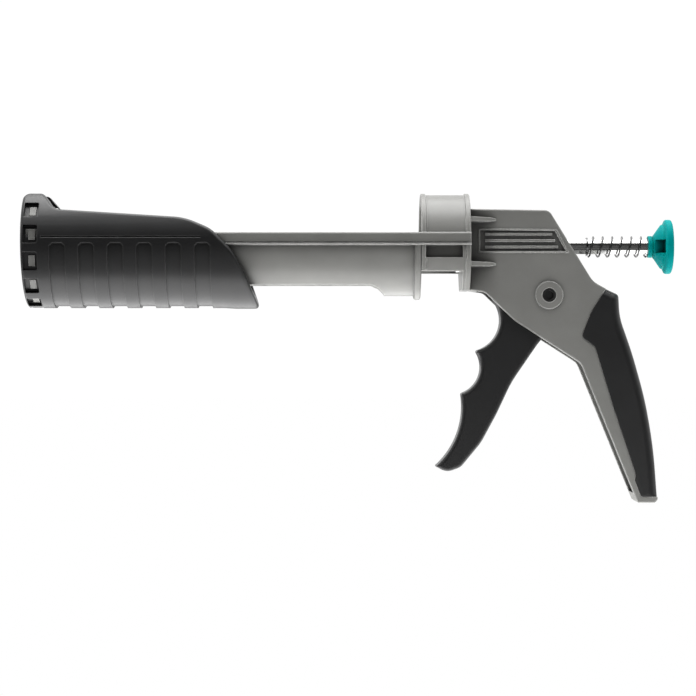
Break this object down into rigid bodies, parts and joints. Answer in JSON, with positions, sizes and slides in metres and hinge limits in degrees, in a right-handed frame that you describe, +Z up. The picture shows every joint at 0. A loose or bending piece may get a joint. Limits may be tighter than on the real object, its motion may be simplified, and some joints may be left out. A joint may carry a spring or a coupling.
{
  "type": "caulking gun",
  "caption": "Hand-operated skeleton caulking gun with an open cradle, soft nose sleeve, trigger, pistol handle and a spring-buffered push rod with a round knob.",
  "frame": {"origin": "on the push rod's axis, at the face of the rear collar that the cartridge's rear end sits against", "axes": "+X along the push rod towards the knob, so the nose is at -X; +Z up, away from the handle; +Y across the tool"},
  "size_m": [0.3641, 0.0672, 0.1738],
  "materials": {
    "grey_plastic": "fine satin texture, moulded",
    "black_soft": "soft matte",
    "black_plastic": "satin, moulded",
    "plated_steel": "bright zinc plate",
    "dark_steel": "blackened",
    "spring_steel": "bright drawn wire",
    "teal_plastic": "satin gloss, moulded",
    "white_plastic": "natural acetal",
    "brass": "machined"
  },
  "bodies": {
    "frame": {"cradle": "grey_plastic", "nose_sleeve": "black_soft", "pistol_body": "grey_plastic", "handle_grip": "black_soft", "cradle_screws": "plated_steel", "pivot_bolt": "dark_steel", "pivot_nut": "dark_steel", "lock_pin": "plated_steel", "lock_spring": "spring_steel", "front_bush": "white_plastic", "rear_bush": "white_plastic", "return_spring": "spring_steel"},
    "trigger_lever": {"trigger": "black_plastic", "trigger_bush": "plated_steel", "nose_pin": "plated_steel", "nose_roller": "plated_steel"},
    "drive": {"drive_plate": "plated_steel"},
    "lock": {"lock_plate": "plated_steel"},
    "plunger_rod": {"push_rod": "plated_steel", "plunger_cup": "black_plastic", "plunger_disc": "plated_steel", "plunger_nuts": "plated_steel", "buffer_spring": "spring_steel", "spring_clip": "spring_steel", "knob": "teal_plastic", "knob_insert": "brass"}
  },
  "joints": [
    {"name": "trigger_pivot", "type": "hinge", "parent": "frame", "child": "trigger_lever", "pos_m": [0.0718, 0, -0.0275], "axis": [0, -1, 0], "range_deg": [0, 30], "stiffness_Nm_per_rad": 0.4, "springref_deg": -34.38},
    {"name": "drive_slide", "type": "slide", "parent": "frame", "child": "drive", "axis": [-1, 0, 0], "range_m": [0, 0.0095], "deforming": ["return_spring"]},
    {"name": "rod_slide", "type": "slide", "parent": "frame", "child": "plunger_rod", "axis": [1, 0, 0], "range_m": [0, 0.2165]},
    {"name": "lock_tilt", "type": "hinge", "parent": "frame", "child": "lock", "pos_m": [0.0738, 0, 0.0092], "axis": [0, 1, 0], "range_deg": [0, 6], "stiffness_Nm_per_rad": 0.03, "springref_deg": -17.19, "deforming": ["lock_spring"]}
  ],
  "couplings": [
    {"joint": "drive_slide", "follows": "trigger_pivot", "m_per_rad": 0.017953}
  ]
}
